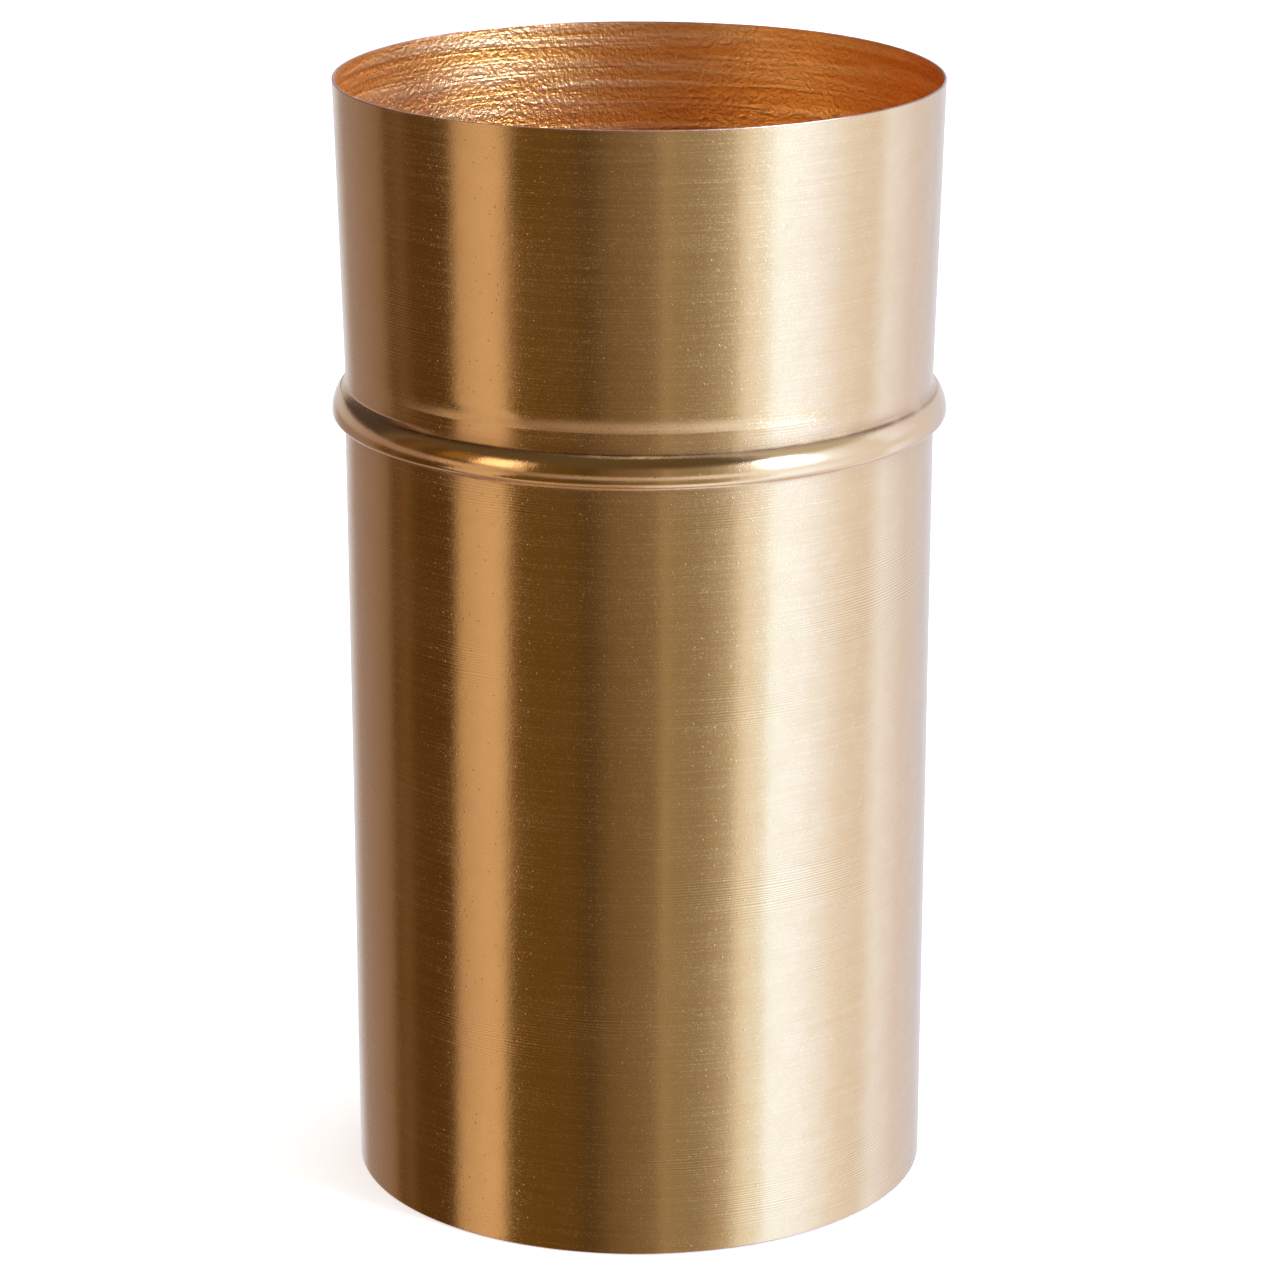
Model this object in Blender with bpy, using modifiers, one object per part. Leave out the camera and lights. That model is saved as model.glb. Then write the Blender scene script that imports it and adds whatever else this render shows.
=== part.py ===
"""A tall brass planter pot, in metres, standing on z = 0 with its axis on Z.

Two tubes of thin sheet meet at a bead ring. The lower body is necked in at its top, and the
upper collar's cuff slips over that neck. A base disc with a turned-up flange closes the foot.
"""

import math

import bmesh
import bpy

# Overall form
HEIGHT = 0.381
RIM_RADIUS = 0.1016
FOOT_RADIUS = 0.0981
SHEET = 0.0008
GAP = 0.0003

# The joint between the two tubes
WALL_BOTTOM_Z = 0.0005
SHOULDER_Z = 0.2664
SHOULDER_RADIUS = 0.09905
NECK_RADIUS = 0.09835
NECK_BASE_Z = 0.2671
NECK_TOP_Z = 0.2824
CUFF_RADIUS = 0.0995
CUFF_BOTTOM_Z = 0.2676
CUFF_TOP_Z = 0.2832
COLLAR_WAIST_Z = 0.2882
COLLAR_WAIST_RADIUS = 0.0990

# The bead ring round the joint
BEAD_RADIUS = 0.1034
BEAD_BOTTOM_Z = 0.2659
BEAD_TOP_Z = 0.2761
BEAD_LOWER_ROUND = 0.0023
BEAD_BORE_RADIUS = CUFF_RADIUS + GAP

# The base and its pads
BASE_THICKNESS = 0.0010
BASE_UNDERSIDE_Z = 0.0030
FLANGE_TOP_Z = 0.0100
FLANGE_BEND = 0.0025
PAD_RADIUS = 0.0060
PAD_ROUND = 0.0006
PAD_CIRCLE_RADIUS = 0.0800
PAD_ANGLES = (45, 135, 225, 315)
PAD_SHARP_ANGLE = 40

# The solder fillets: each hollow face has one middle point, at these shares of its width and height
BEAD_FILLET_WIDTH = 0.0011
BEAD_FILLET_HEIGHT = 0.0016
BEAD_FILLET_MIDDLE = (0.35, 0.45)
BASE_FILLET_WIDTH = 0.0009
BASE_FILLET_HEIGHT = 0.0026
BASE_FILLET_MIDDLE = (0.45, 0.40)
FILLET_FEATHER = 0.0001

# How finely the round shapes are divided
TURN_STEPS = 72
MERGE_DISTANCE = 0.00001
CUFF_CURVE_STEPS = 4
BEAD_UPPER_STEPS = 8
BEAD_LOWER_STEPS = 4
FLANGE_INNER_STEPS = 3
FLANGE_OUTER_STEPS = 4
PAD_STEPS = 24
PAD_ROUND_STEPS = 2


def clear_scene():
    """Empties the scene, so that it holds only the planter."""
    for obj in list(bpy.data.objects):
        bpy.data.objects.remove(obj, do_unlink=True)


def new_material(name, colour, roughness, metallic):
    """A Principled material of one colour."""
    material = bpy.data.materials.new(name)
    material.use_nodes = True
    shader = material.node_tree.nodes["Principled BSDF"]
    shader.inputs["Base Color"].default_value = (*colour, 1.0)
    shader.inputs["Roughness"].default_value = roughness
    shader.inputs["Metallic"].default_value = metallic
    return material


def arc(centre, radius, start, end, steps):
    """Points (r, z) on an arc round centre, from the start angle to the end angle in degrees."""
    points = []
    for step in range(steps + 1):
        angle = math.radians(start + (end - start) * step / steps)
        points.append((centre[0] + radius * math.cos(angle), centre[1] + radius * math.sin(angle)))
    return points


def turned(name, outline, material, on_axis=False):
    """Turns an outline of (r, z) points round Z. It runs down the outer side and back up the inner."""
    count = len(outline)
    edges = [(i, i + 1) for i in range(count - 1)]
    if not on_axis:
        edges.append((count - 1, 0))
    mesh = bpy.data.meshes.new(name)
    mesh.from_pydata([(r, 0.0, z) for r, z in outline], edges, [])
    mesh.materials.append(material)
    piece = bpy.data.objects.new(name, mesh)
    planter.objects.link(piece)
    screw = piece.modifiers.new("Turn", "SCREW")
    screw.axis = "Z"
    screw.steps = TURN_STEPS
    screw.render_steps = TURN_STEPS
    screw.use_merge_vertices = True
    screw.merge_threshold = MERGE_DISTANCE
    screw.use_smooth_shade = True
    return piece


def body_radius(z):
    """Outer radius of the lower body's straight taper at height z."""
    share = (z - WALL_BOTTOM_Z) / (SHOULDER_Z - WALL_BOTTOM_Z)
    return FOOT_RADIUS + (SHOULDER_RADIUS - FOOT_RADIUS) * share


def make_lower_body():
    """The tall tube: a slight taper, then a shoulder and a neck that the collar slips over."""
    outline = [
        (NECK_RADIUS, NECK_TOP_Z),
        (NECK_RADIUS, NECK_BASE_Z),
        (SHOULDER_RADIUS, SHOULDER_Z),
        (FOOT_RADIUS, WALL_BOTTOM_Z),
        (FOOT_RADIUS - SHEET, WALL_BOTTOM_Z),
        (SHOULDER_RADIUS - SHEET, SHOULDER_Z - SHEET / 2),
        (NECK_RADIUS - SHEET, NECK_BASE_Z),
        (NECK_RADIUS - SHEET, NECK_TOP_Z),
    ]
    brass = new_material("lower_body_brass", (0.72, 0.50, 0.24), 0.28, 1.0)
    return turned("lower_body", outline, brass)


def collar_side(offset):
    """The collar's (r, z) points from the rim down to the cuff's edge, moved in by offset."""
    points = [(RIM_RADIUS - offset, HEIGHT)]
    for step in range(CUFF_CURVE_STEPS + 1):
        share = step / CUFF_CURVE_STEPS
        ease = share * share * (3 - 2 * share)
        radius = COLLAR_WAIST_RADIUS + (CUFF_RADIUS - COLLAR_WAIST_RADIUS) * ease
        points.append((radius - offset, COLLAR_WAIST_Z + (CUFF_TOP_Z - COLLAR_WAIST_Z) * share))
    points.append((CUFF_RADIUS - offset, CUFF_BOTTOM_Z))
    return points


def make_upper_collar():
    """The flared tube: it widens to the rim, and its cuff is opened out to fit over the neck."""
    outline = collar_side(0.0) + collar_side(SHEET)[::-1]
    brass = new_material("upper_collar_brass", (0.72, 0.50, 0.24), 0.26, 1.0)
    return turned("upper_collar", outline, brass)


def make_bead_ring():
    """A solid ring with a long upper curve and a tight lower one, set round the joint."""
    equator_z = BEAD_BOTTOM_Z + BEAD_LOWER_ROUND
    rise = BEAD_TOP_Z - equator_z
    reach = BEAD_RADIUS - BEAD_BORE_RADIUS
    upper_round = (rise * rise + reach * reach) / (2 * reach)
    top_angle = math.degrees(math.asin(rise / upper_round))
    upper_centre = (BEAD_RADIUS - upper_round, equator_z)
    lower_centre = (BEAD_RADIUS - BEAD_LOWER_ROUND, equator_z)
    upper = arc(upper_centre, upper_round, top_angle, 0, BEAD_UPPER_STEPS)
    lower = arc(lower_centre, BEAD_LOWER_ROUND, 0, -90, BEAD_LOWER_STEPS)
    outline = upper + lower[1:] + [(BEAD_BORE_RADIUS, BEAD_BOTTOM_Z)]
    brass = new_material("bead_ring_brass", (0.74, 0.52, 0.26), 0.22, 1.0)
    return turned("bead_ring", outline, brass)


def make_bead_solder():
    """The thin fillet of solder in the corner under the bead ring."""
    top_z = BEAD_BOTTOM_Z - GAP
    inner = body_radius(top_z) + GAP
    across, down = BEAD_FILLET_MIDDLE
    outline = [
        (inner + BEAD_FILLET_WIDTH, top_z),
        (inner + BEAD_FILLET_WIDTH * across, top_z - BEAD_FILLET_HEIGHT * down),
        (inner + FILLET_FEATHER, top_z - BEAD_FILLET_HEIGHT),
        (inner, top_z - BEAD_FILLET_HEIGHT),
        (inner, top_z),
    ]
    solder = new_material("bead_solder_metal", (0.62, 0.52, 0.38), 0.40, 1.0)
    return turned("bead_solder", outline, solder)


def make_base_disc():
    """The floor of the pot: a disc of thicker sheet with its edge turned up inside the tube."""
    outer = body_radius(BASE_UNDERSIDE_Z) - SHEET - GAP
    inner = outer - BASE_THICKNESS
    bend_z = BASE_UNDERSIDE_Z + FLANGE_BEND
    bend_centre = (outer - FLANGE_BEND, bend_z)
    inner_bend = arc(bend_centre, FLANGE_BEND - BASE_THICKNESS, -90, 0, FLANGE_INNER_STEPS)
    outer_bend = arc(bend_centre, FLANGE_BEND, 0, -90, FLANGE_OUTER_STEPS)
    outline = [(0.0, BASE_UNDERSIDE_Z + BASE_THICKNESS)] + inner_bend
    outline += [(inner, FLANGE_TOP_Z), (outer, FLANGE_TOP_Z)] + outer_bend
    outline.append((0.0, BASE_UNDERSIDE_Z))
    brass = new_material("base_disc_brass", (0.66, 0.44, 0.20), 0.38, 1.0)
    return turned("base_disc", outline, brass, on_axis=True)


def make_base_solder():
    """The fillet of solder that seals the top of the base disc's flange to the tube."""
    bottom_z = FLANGE_TOP_Z + GAP
    outer = body_radius(bottom_z) - SHEET - GAP
    across, up = BASE_FILLET_MIDDLE
    outline = [
        (outer, bottom_z + BASE_FILLET_HEIGHT),
        (outer, bottom_z),
        (outer - BASE_FILLET_WIDTH, bottom_z),
        (outer - BASE_FILLET_WIDTH * across, bottom_z + BASE_FILLET_HEIGHT * up),
        (outer - FILLET_FEATHER, bottom_z + BASE_FILLET_HEIGHT),
    ]
    solder = new_material("base_solder_metal", (0.58, 0.52, 0.44), 0.45, 1.0)
    return turned("base_solder", outline, solder)


def make_foot_pad(number, angle):
    """A round rubber pad stuck under the base disc, with its lower edge rounded."""
    height = BASE_UNDERSIDE_Z - GAP
    name = f"foot_pad_{number}"
    mesh = bpy.data.meshes.new(name)
    shape = bmesh.new()
    bmesh.ops.create_cone(
        shape,
        cap_ends=True,
        segments=PAD_STEPS,
        radius1=PAD_RADIUS,
        radius2=PAD_RADIUS,
        depth=height,
    )
    lowest = [edge for edge in shape.edges if max(v.co.z for v in edge.verts) < 0]
    bmesh.ops.bevel(shape, geom=lowest, offset=PAD_ROUND, segments=PAD_ROUND_STEPS, affect="EDGES")
    shape.to_mesh(mesh)
    shape.free()
    mesh.shade_smooth()
    mesh.set_sharp_from_angle(angle=math.radians(PAD_SHARP_ANGLE))
    mesh.materials.append(new_material(f"{name}_rubber", (0.04, 0.04, 0.04), 0.65, 0.0))
    pad = bpy.data.objects.new(name, mesh)
    turn = math.radians(angle)
    pad.location = (PAD_CIRCLE_RADIUS * math.cos(turn), PAD_CIRCLE_RADIUS * math.sin(turn), height / 2)
    planter.objects.link(pad)
    return pad


clear_scene()
planter = bpy.data.collections.new("brass_planter_pot")
bpy.context.scene.collection.children.link(planter)

make_lower_body()
make_upper_collar()
make_bead_ring()
make_bead_solder()
make_base_disc()
make_base_solder()
for pad_number, pad_angle in enumerate(PAD_ANGLES, start=1):
    make_foot_pad(pad_number, pad_angle)
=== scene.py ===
# %% [markdown]
# # A tall brass planter pot
#
# The real pot is made of thin brass sheet: a lower tube, a flared collar that slips over the
# tube's neck, and a solid bead ring soldered round the joint. The CAD model fixes every size
# and place. This script makes the surfaces: the turned walls with the small waves that
# handwork leaves, the cut rim, the solder, and the finishes of the metal.
#
# The first cell loads the CAD model. Its parts stay in the scene, hidden once a new piece
# stands for them.

# %% Load the CAD model as a fixed frame
import math

import bmesh
import bpy
import numpy as np
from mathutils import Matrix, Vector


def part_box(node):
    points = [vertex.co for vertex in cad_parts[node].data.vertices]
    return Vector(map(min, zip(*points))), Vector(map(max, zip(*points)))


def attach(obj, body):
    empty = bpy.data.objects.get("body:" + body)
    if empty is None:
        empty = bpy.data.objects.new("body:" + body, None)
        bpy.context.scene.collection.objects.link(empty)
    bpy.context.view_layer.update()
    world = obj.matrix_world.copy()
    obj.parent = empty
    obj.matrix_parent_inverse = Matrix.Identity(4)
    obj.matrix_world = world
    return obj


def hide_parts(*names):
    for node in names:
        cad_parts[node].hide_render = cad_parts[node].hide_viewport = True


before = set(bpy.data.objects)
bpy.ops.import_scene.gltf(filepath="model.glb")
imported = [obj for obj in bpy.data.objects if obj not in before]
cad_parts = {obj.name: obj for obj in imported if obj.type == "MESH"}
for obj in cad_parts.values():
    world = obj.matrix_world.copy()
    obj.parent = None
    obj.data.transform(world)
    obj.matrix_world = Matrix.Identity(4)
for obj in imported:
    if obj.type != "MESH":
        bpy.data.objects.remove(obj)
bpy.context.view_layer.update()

print("CAD nodes:", sorted(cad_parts))

# %% [markdown]
# ## Sizes
#
# All lengths are in metres. The sizes that a box can give are read from the CAD nodes, so
# that they can't drift from the model. The few that a box doesn't show, such as the sheet's
# thickness, repeat the CAD model's own values. TURNS is how many steps go round a wall.

# %% Sizes read from the CAD nodes, and the few that are repeated
collar_low, collar_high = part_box("upper_collar")
body_low, body_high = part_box("lower_body")
bead_low, bead_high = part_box("bead_ring")
disc_low, disc_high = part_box("base_disc")

HEIGHT = collar_high.z
RIM_RADIUS = collar_high.x
CUFF_BOTTOM = collar_low.z
WALL_BOTTOM = body_low.z
NECK_TOP = body_high.z
SHOULDER_RADIUS = body_high.x
BEAD_BOTTOM = bead_low.z
BEAD_TOP = bead_high.z
BEAD_RADIUS = bead_high.x

SHEET = 0.0008
FOOT_RADIUS = 0.0981
SHOULDER = 0.2664
NECK_RADIUS = 0.09835
NECK_BASE = 0.2671
CUFF_RADIUS = 0.0995
CUFF_TOP = 0.2832
WAIST_Z = 0.2882
WAIST_RADIUS = 0.0990
BEAD_LOWER_ROUND = 0.0023
FLOOR_THICKNESS = 0.0010
FLANGE_BEND = 0.0025
TURNS = 288
print("rim", RIM_RADIUS, "height", HEIGHT, "bead", BEAD_RADIUS, BEAD_BOTTOM, BEAD_TOP)

# %% [markdown]
# ## Camera
#
# The pot is seen from in front and a little above, from far enough away that its sides stay
# nearly parallel. A long lens on a camera about 1.6 m off gives that view. The camera comes
# first, because it settles how much detail the surfaces need.

# %% Make the camera
CAMERA_DISTANCE = 1.5857
CAMERA_HEIGHT = 0.6659
CAMERA_PITCH = math.radians(16.87)
CAMERA_SIDE = 0.00025
SENSOR_WIDTH = 36.0
LENS = 136.2

camera_data = bpy.data.cameras.new("camera")
camera_data.sensor_width = SENSOR_WIDTH
camera_data.lens = LENS
camera_data.clip_end = 50.0
camera = bpy.data.objects.new("camera", camera_data)
camera.location = (CAMERA_SIDE, -CAMERA_DISTANCE, CAMERA_HEIGHT)
camera.rotation_euler = (math.pi / 2 - CAMERA_PITCH, 0.0, 0.0)
bpy.context.scene.collection.objects.link(camera)
bpy.context.scene.camera = camera
print("camera", LENS, "mm at", tuple(camera.location))

# %% [markdown]
# ## Turned pieces as grids
#
# Every piece of this pot is round, so each is an outline of radius and height carried round
# the axis. A Screw modifier could do that, but a grid worked out with numpy can also carry
# what a lathe doesn't leave: a wall that is a little out of round, or a ring that sits a
# little off centre. The outline is given by its corners, and each corner is rounded by an
# arc, because no real sheet edge is perfectly sharp.

# %% Outlines: corners, rounded and divided
def rounded_outline(corners, spacing):
    """Divides a closed outline into short steps, with a round at each corner.

    corners is a list of (radius, height, round). Each corner is replaced by an arc that is
    tangent to both its sides: it starts at a distance of round * tan(turn / 2) before the
    corner and ends as far behind it. The straight runs between are split into equal steps of
    at most spacing. Returns the points and, for each, the number of the run that it begins.
    """
    points = []
    runs = []
    count = len(corners)
    places = np.array([(r, z) for r, z, _ in corners])
    arcs = []
    for i in range(count):
        before = places[i - 1] - places[i]
        after = places[(i + 1) % count] - places[i]
        before = before / np.linalg.norm(before)
        after = after / np.linalg.norm(after)
        turn = math.pi - math.acos(float(np.clip(before @ after, -1.0, 1.0)))
        reach = corners[i][2] * math.tan(turn / 2)
        steps = max(1, round(math.degrees(turn) / 15))
        share = np.linspace(0.0, 1.0, steps + 1)[:, None]
        start = places[i] + before * reach
        end = places[i] + after * reach
        arcs.append((1 - share) ** 2 * start + 2 * share * (1 - share) * places[i] + share**2 * end)
    for i in range(count):
        start = arcs[i][-1]
        end = arcs[(i + 1) % count][0]
        steps = max(1, math.ceil(float(np.linalg.norm(end - start)) / spacing))
        share = np.linspace(0.0, 1.0, steps + 1)[:-1, None]
        run = start + (end - start) * share
        points += [arcs[i][:-1], run]
        runs += [np.full(len(arcs[i]) - 1, i), np.full(len(run), i)]
    return np.concatenate(points), np.concatenate(runs)


def hand_waves(angle, height, size, seed, waves=7):
    """Small waves in a turned wall: a sum of sines.

    Each wave has a whole number of crests round the wall, so that it closes on itself, and a
    slow rise or fall along the height. size is the sum's rough height in metres.
    """
    rng = np.random.default_rng(seed)
    total = np.zeros(np.broadcast(angle, height).shape)
    for crests in range(2, 2 + waves):
        slant = rng.uniform(-45.0, 45.0)
        phase = rng.uniform(0.0, 2 * math.pi)
        total = total + np.sin(crests * angle + slant * height + phase) / crests
    return total * size


print("outline helpers ready")

# %% Grids: an outline carried round the axis
def turned_points(outline, turns, wave=None):
    """Carries an outline of (radius, height) points round Z, as an array of turns x points x 3.

    x = (radius + wave) * cos(angle) and y = (radius + wave) * sin(angle). wave is a function
    of angle, radius and height.
    """
    angle = np.linspace(0.0, 2 * math.pi, turns, endpoint=False)[:, None]
    radius = outline[:, 0][None, :] + np.zeros((turns, 1))
    height = outline[:, 1][None, :] + np.zeros((turns, 1))
    if wave is not None:
        radius = radius + wave(angle, radius, height)
    x = radius * np.cos(angle)
    y = radius * np.sin(angle)
    return np.stack([x, y, height], axis=-1)


def grid_mesh(name, points, slots=None, closed=True):
    """Puts a grid of points into a mesh object, with a quad for each cell.

    The grid closes round the axis, and where closed is set its outline closes too. Corners
    are taken down the outline first and then round, which turns each face outwards. slots
    gives a material number for each step of the outline.
    """
    turns, count = points.shape[:2]
    steps = count if closed else count - 1
    i = np.arange(turns)[:, None]
    j = np.arange(steps)[None, :]
    here = i * count + j
    down = i * count + (j + 1) % count
    beside = (i + 1) % turns * count + j
    across = (i + 1) % turns * count + (j + 1) % count
    quads = np.stack([here, down, across, beside], axis=-1).reshape(-1, 4)
    mesh = bpy.data.meshes.new(name)
    mesh.vertices.add(turns * count)
    mesh.vertices.foreach_set("co", points.reshape(-1).astype(np.float32))
    mesh.loops.add(quads.size)
    mesh.loops.foreach_set("vertex_index", quads.reshape(-1).astype(np.int32))
    mesh.polygons.add(len(quads))
    mesh.polygons.foreach_set("loop_start", np.arange(0, quads.size, 4, dtype=np.int32))
    if slots is not None:
        number = np.tile(np.asarray(slots[:steps], np.int32), turns)
        mesh.polygons.foreach_set("material_index", number)
    mesh.update()
    mesh.validate()
    piece = bpy.data.objects.new(name, mesh)
    bpy.context.scene.collection.objects.link(piece)
    return piece


def finish_shape(piece, sharp_degrees=50.0):
    """Joins points that lie on one another, drops faces of no size, and shades the piece smooth."""
    shape = bmesh.new()
    shape.from_mesh(piece.data)
    bmesh.ops.remove_doubles(shape, verts=shape.verts, dist=1e-7)
    bmesh.ops.dissolve_degenerate(shape, edges=shape.edges, dist=1e-8)
    volume = shape.calc_volume(signed=True)
    shape.to_mesh(piece.data)
    shape.free()
    piece.data.shade_smooth()
    piece.data.set_sharp_from_angle(angle=math.radians(sharp_degrees))
    print(piece.name, len(piece.data.polygons), "faces,", round(volume * 1e6, 2), "cm3")
    return piece


def stand_for(piece, node, materials):
    """Gives a piece its materials, hangs it under the root body and hides the CAD node that it replaces.
    """
    for material in materials:
        piece.data.materials.append(material)
    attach(piece, "root")
    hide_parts(node)
    return piece


print("grid helpers ready")

# %% [markdown]
# ## The lower body
#
# A long tube of sheet with a slight taper to the foot. At the top it is squeezed in to a
# neck, which the collar slips over. The waves are a few hundredths of a millimetre. They
# can't be felt, but a polished wall shows them in its reflections.

# %% Shape the lower body
FOOT_TILT = 0.003
FOOT_TILT_TOP = 0.02
WALL_WAVE = 0.00006
WALL_SPACING = 0.0025
NECK_ROUND = 0.0006
SHOULDER_ROUND = 0.0005


def smooth_step(value, low, high):
    """0 below low, 1 above high, and an S-curve between: 3 t squared minus 2 t cubed."""
    share = np.clip((value - low) / (high - low), 0.0, 1.0)
    return share * share * (3 - 2 * share)


def shape_lower_body():
    """The tube's outline, down the outer side from the neck's top and up the inner side.

    Near the foot each point rises by FOOT_TILT times x, because the cut isn't quite square.
    """
    lip = SHEET * 0.3
    corners = [
        (NECK_RADIUS, NECK_TOP, lip),
        (NECK_RADIUS, NECK_BASE, NECK_ROUND),
        (SHOULDER_RADIUS, SHOULDER, SHOULDER_ROUND),
        (FOOT_RADIUS, WALL_BOTTOM, lip),
        (FOOT_RADIUS - SHEET, WALL_BOTTOM, lip),
        (SHOULDER_RADIUS - SHEET, SHOULDER - SHEET / 2, SHOULDER_ROUND),
        (NECK_RADIUS - SHEET, NECK_BASE, NECK_ROUND),
        (NECK_RADIUS - SHEET, NECK_TOP, lip),
    ]
    outline, runs = rounded_outline(corners, WALL_SPACING)
    finishes = np.array([0, 0, 0, 2, 1, 1, 1, 2])
    points = turned_points(
        outline,
        TURNS,
        wave=lambda angle, radius, height: hand_waves(angle, height, WALL_WAVE, 11),
    )
    cut = 1 - smooth_step(points[..., 2], 0.0, FOOT_TILT_TOP)
    points[..., 2] += FOOT_TILT * points[..., 0] * cut
    return finish_shape(grid_mesh("lower_body_tube", points, finishes[runs]))


lower_body = shape_lower_body()

# %% [markdown]
# ## The upper collar
#
# The collar is a second tube that widens to the rim. Its lowest 16 mm is opened out into a
# cuff that slips over the neck. The cuff ends in a crisp bend, and above the bend the wall
# curves back in over 6 mm. The curve starts 1 mm higher than the CAD model's simpler one. It
# is what catches a soft band of light just above the bead.
#
# At both sides of the pot the joint was dressed: solder was drawn up into the seam and filed
# smooth, so the wall there sweeps straight out onto the bead and the bend fades away. One
# function of the angle, `dressed`, says how far that goes, and the bead uses it too.

# %% Where the joint is dressed
RIM_SAG = 0.0007
RIM_UNEVEN = 0.00012
RIM_SAG_DEPTH = 0.02
CURVE_TOP = 0.2892
DRESSED_TOP = 0.2781
DRESSED_REACH = 0.0009
COLLAR_SLOPE = (RIM_RADIUS - WAIST_RADIUS) / (HEIGHT - WAIST_Z)


def dressed(angle):
    """0 at the front and back of the pot and 1 at its two sides, with a smooth change between."""
    return smooth_step(np.abs(np.cos(angle)), 0.58, 0.97)


def collar_wall(height):
    """The straight wall's radius, which shrinks evenly from the rim downwards."""
    return RIM_RADIUS - COLLAR_SLOPE * (HEIGHT - height)


def cuff_flare(height):
    """How far the wall curves out to the cuff: it grows with the square of the drop."""
    drop = np.clip((CURVE_TOP - height) / (CURVE_TOP - CUFF_TOP), 0.0, 1.0)
    return (CUFF_RADIUS - collar_wall(CUFF_TOP)) * drop**2


def dressed_sweep(height):
    """How far the dressed joint stands out past the straight wall, down to the bead.

    It grows from nothing at its top with the drop to the power of 1.5. Under the bead, where
    it can't be seen, it goes back to the cuff.
    """
    step = CUFF_RADIUS - collar_wall(CUFF_TOP)
    drop = np.clip((DRESSED_TOP - height) / (DRESSED_TOP - BEAD_TOP), 0.0, 1.0)
    shown = smooth_step(height, BEAD_TOP - 0.003, BEAD_TOP - 0.001)
    return (step + DRESSED_REACH) * drop**1.5 * shown + step * (1 - shown)


# %% Shape the upper collar
def collar_side(offset, spacing):
    """One side of the collar, from the rim to the cuff's edge, moved in by offset."""
    wall_heights = np.arange(HEIGHT, CURVE_TOP, -spacing)
    curve_heights = np.linspace(CURVE_TOP, CUFF_TOP, 15)
    cuff_heights = np.linspace(CUFF_TOP, CUFF_BOTTOM, 29)[1:]
    height = np.concatenate([wall_heights, curve_heights])
    radius = collar_wall(height) + cuff_flare(height)
    radius = np.concatenate([radius, np.full(len(cuff_heights), CUFF_RADIUS)])
    return np.stack([radius - offset, np.concatenate([height, cuff_heights])], axis=-1)


def collar_wave(angle, radius, height):
    """Hand waves, and at the dressed sides the sweep in place of the cuff's flare."""
    change = dressed_sweep(height) - cuff_flare(height)
    return hand_waves(angle, height, WALL_WAVE, 23) + dressed(angle) * change


def shape_upper_collar():
    """The collar's outline: the outer side down, the cuff's edge, the inner side up, the rim.

    The rim sags by RIM_SAG times the cosine of the angle to the power of 4, so it is lowest
    at the two sides, and by a little more five times round.
    """
    outer = collar_side(0.0, WALL_SPACING)
    inner = collar_side(SHEET, WALL_SPACING)[::-1]
    lip = SHEET * 0.25
    half = SHEET / 2
    middle = RIM_RADIUS - half
    rim = np.array([
        (middle - half, HEIGHT - lip),
        (middle - half + lip * 0.3, HEIGHT - lip * 0.3),
        (middle - half + lip, HEIGHT),
        (middle, HEIGHT),
        (middle + half - lip, HEIGHT),
        (middle + half - lip * 0.3, HEIGHT - lip * 0.3),
        (middle + half, HEIGHT - lip),
    ])
    outline = np.concatenate([outer[1:], inner[:-1], rim])
    slots = np.concatenate([np.zeros(len(outer) - 1), np.ones(len(inner) - 1), np.full(len(rim), 2)])
    slots[len(outer) - 2] = 2
    slots[-1] = 0
    points = turned_points(outline, TURNS, wave=collar_wave)
    angle = np.arctan2(points[..., 1], points[..., 0])
    near_rim = smooth_step(points[..., 2], HEIGHT - RIM_SAG_DEPTH, HEIGHT)
    uneven = RIM_UNEVEN * (1 + np.sin(5 * angle + 1.0)) / 2
    points[..., 2] -= near_rim * (RIM_SAG * np.cos(angle) ** 4 + uneven)
    return finish_shape(grid_mesh("upper_collar_tube", points, slots), sharp_degrees=9.0)


upper_collar = shape_upper_collar()

# %% [markdown]
# ## The bead ring
#
# A solid ring, drawn through a die to a section with a long upper curve and a tight lower
# one, bent round and soldered over the joint. Its inner face stays a few tenths of a
# millimetre clear of the cuff at the top, so a thin dark seam shows there, a little wider on
# the left. At the dressed sides the ring's upper curve is fuller, and the seam is closed.

# %% Shape the bead ring
SEAM = 0.00022
SEAM_OPENING = 0.0001
BEAD_WAVE = 0.00005


def bead_wave(angle, radius, height):
    """The changes to the ring's radius: a fuller curve, a wider seam and hand waves.

    The first two are largest at the bore and fall evenly to nothing at the widest point. The
    seam opens by minus the cosine of the angle. Waves never pass the ring's own radius.
    """
    bore = CUFF_RADIUS + SEAM
    inward = (BEAD_RADIUS - radius) / (BEAD_RADIUS - bore)
    upper = height > BEAD_BOTTOM + BEAD_LOWER_ROUND
    push = np.where(upper, dressed(angle) * (DRESSED_REACH - SEAM) * inward, 0.0)
    opening = np.where(upper, -SEAM_OPENING * np.cos(angle) * inward, 0.0)
    dents = np.minimum(hand_waves(angle, height, BEAD_WAVE, 37, waves=12), BEAD_RADIUS - radius)
    return push + opening + dents


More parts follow.
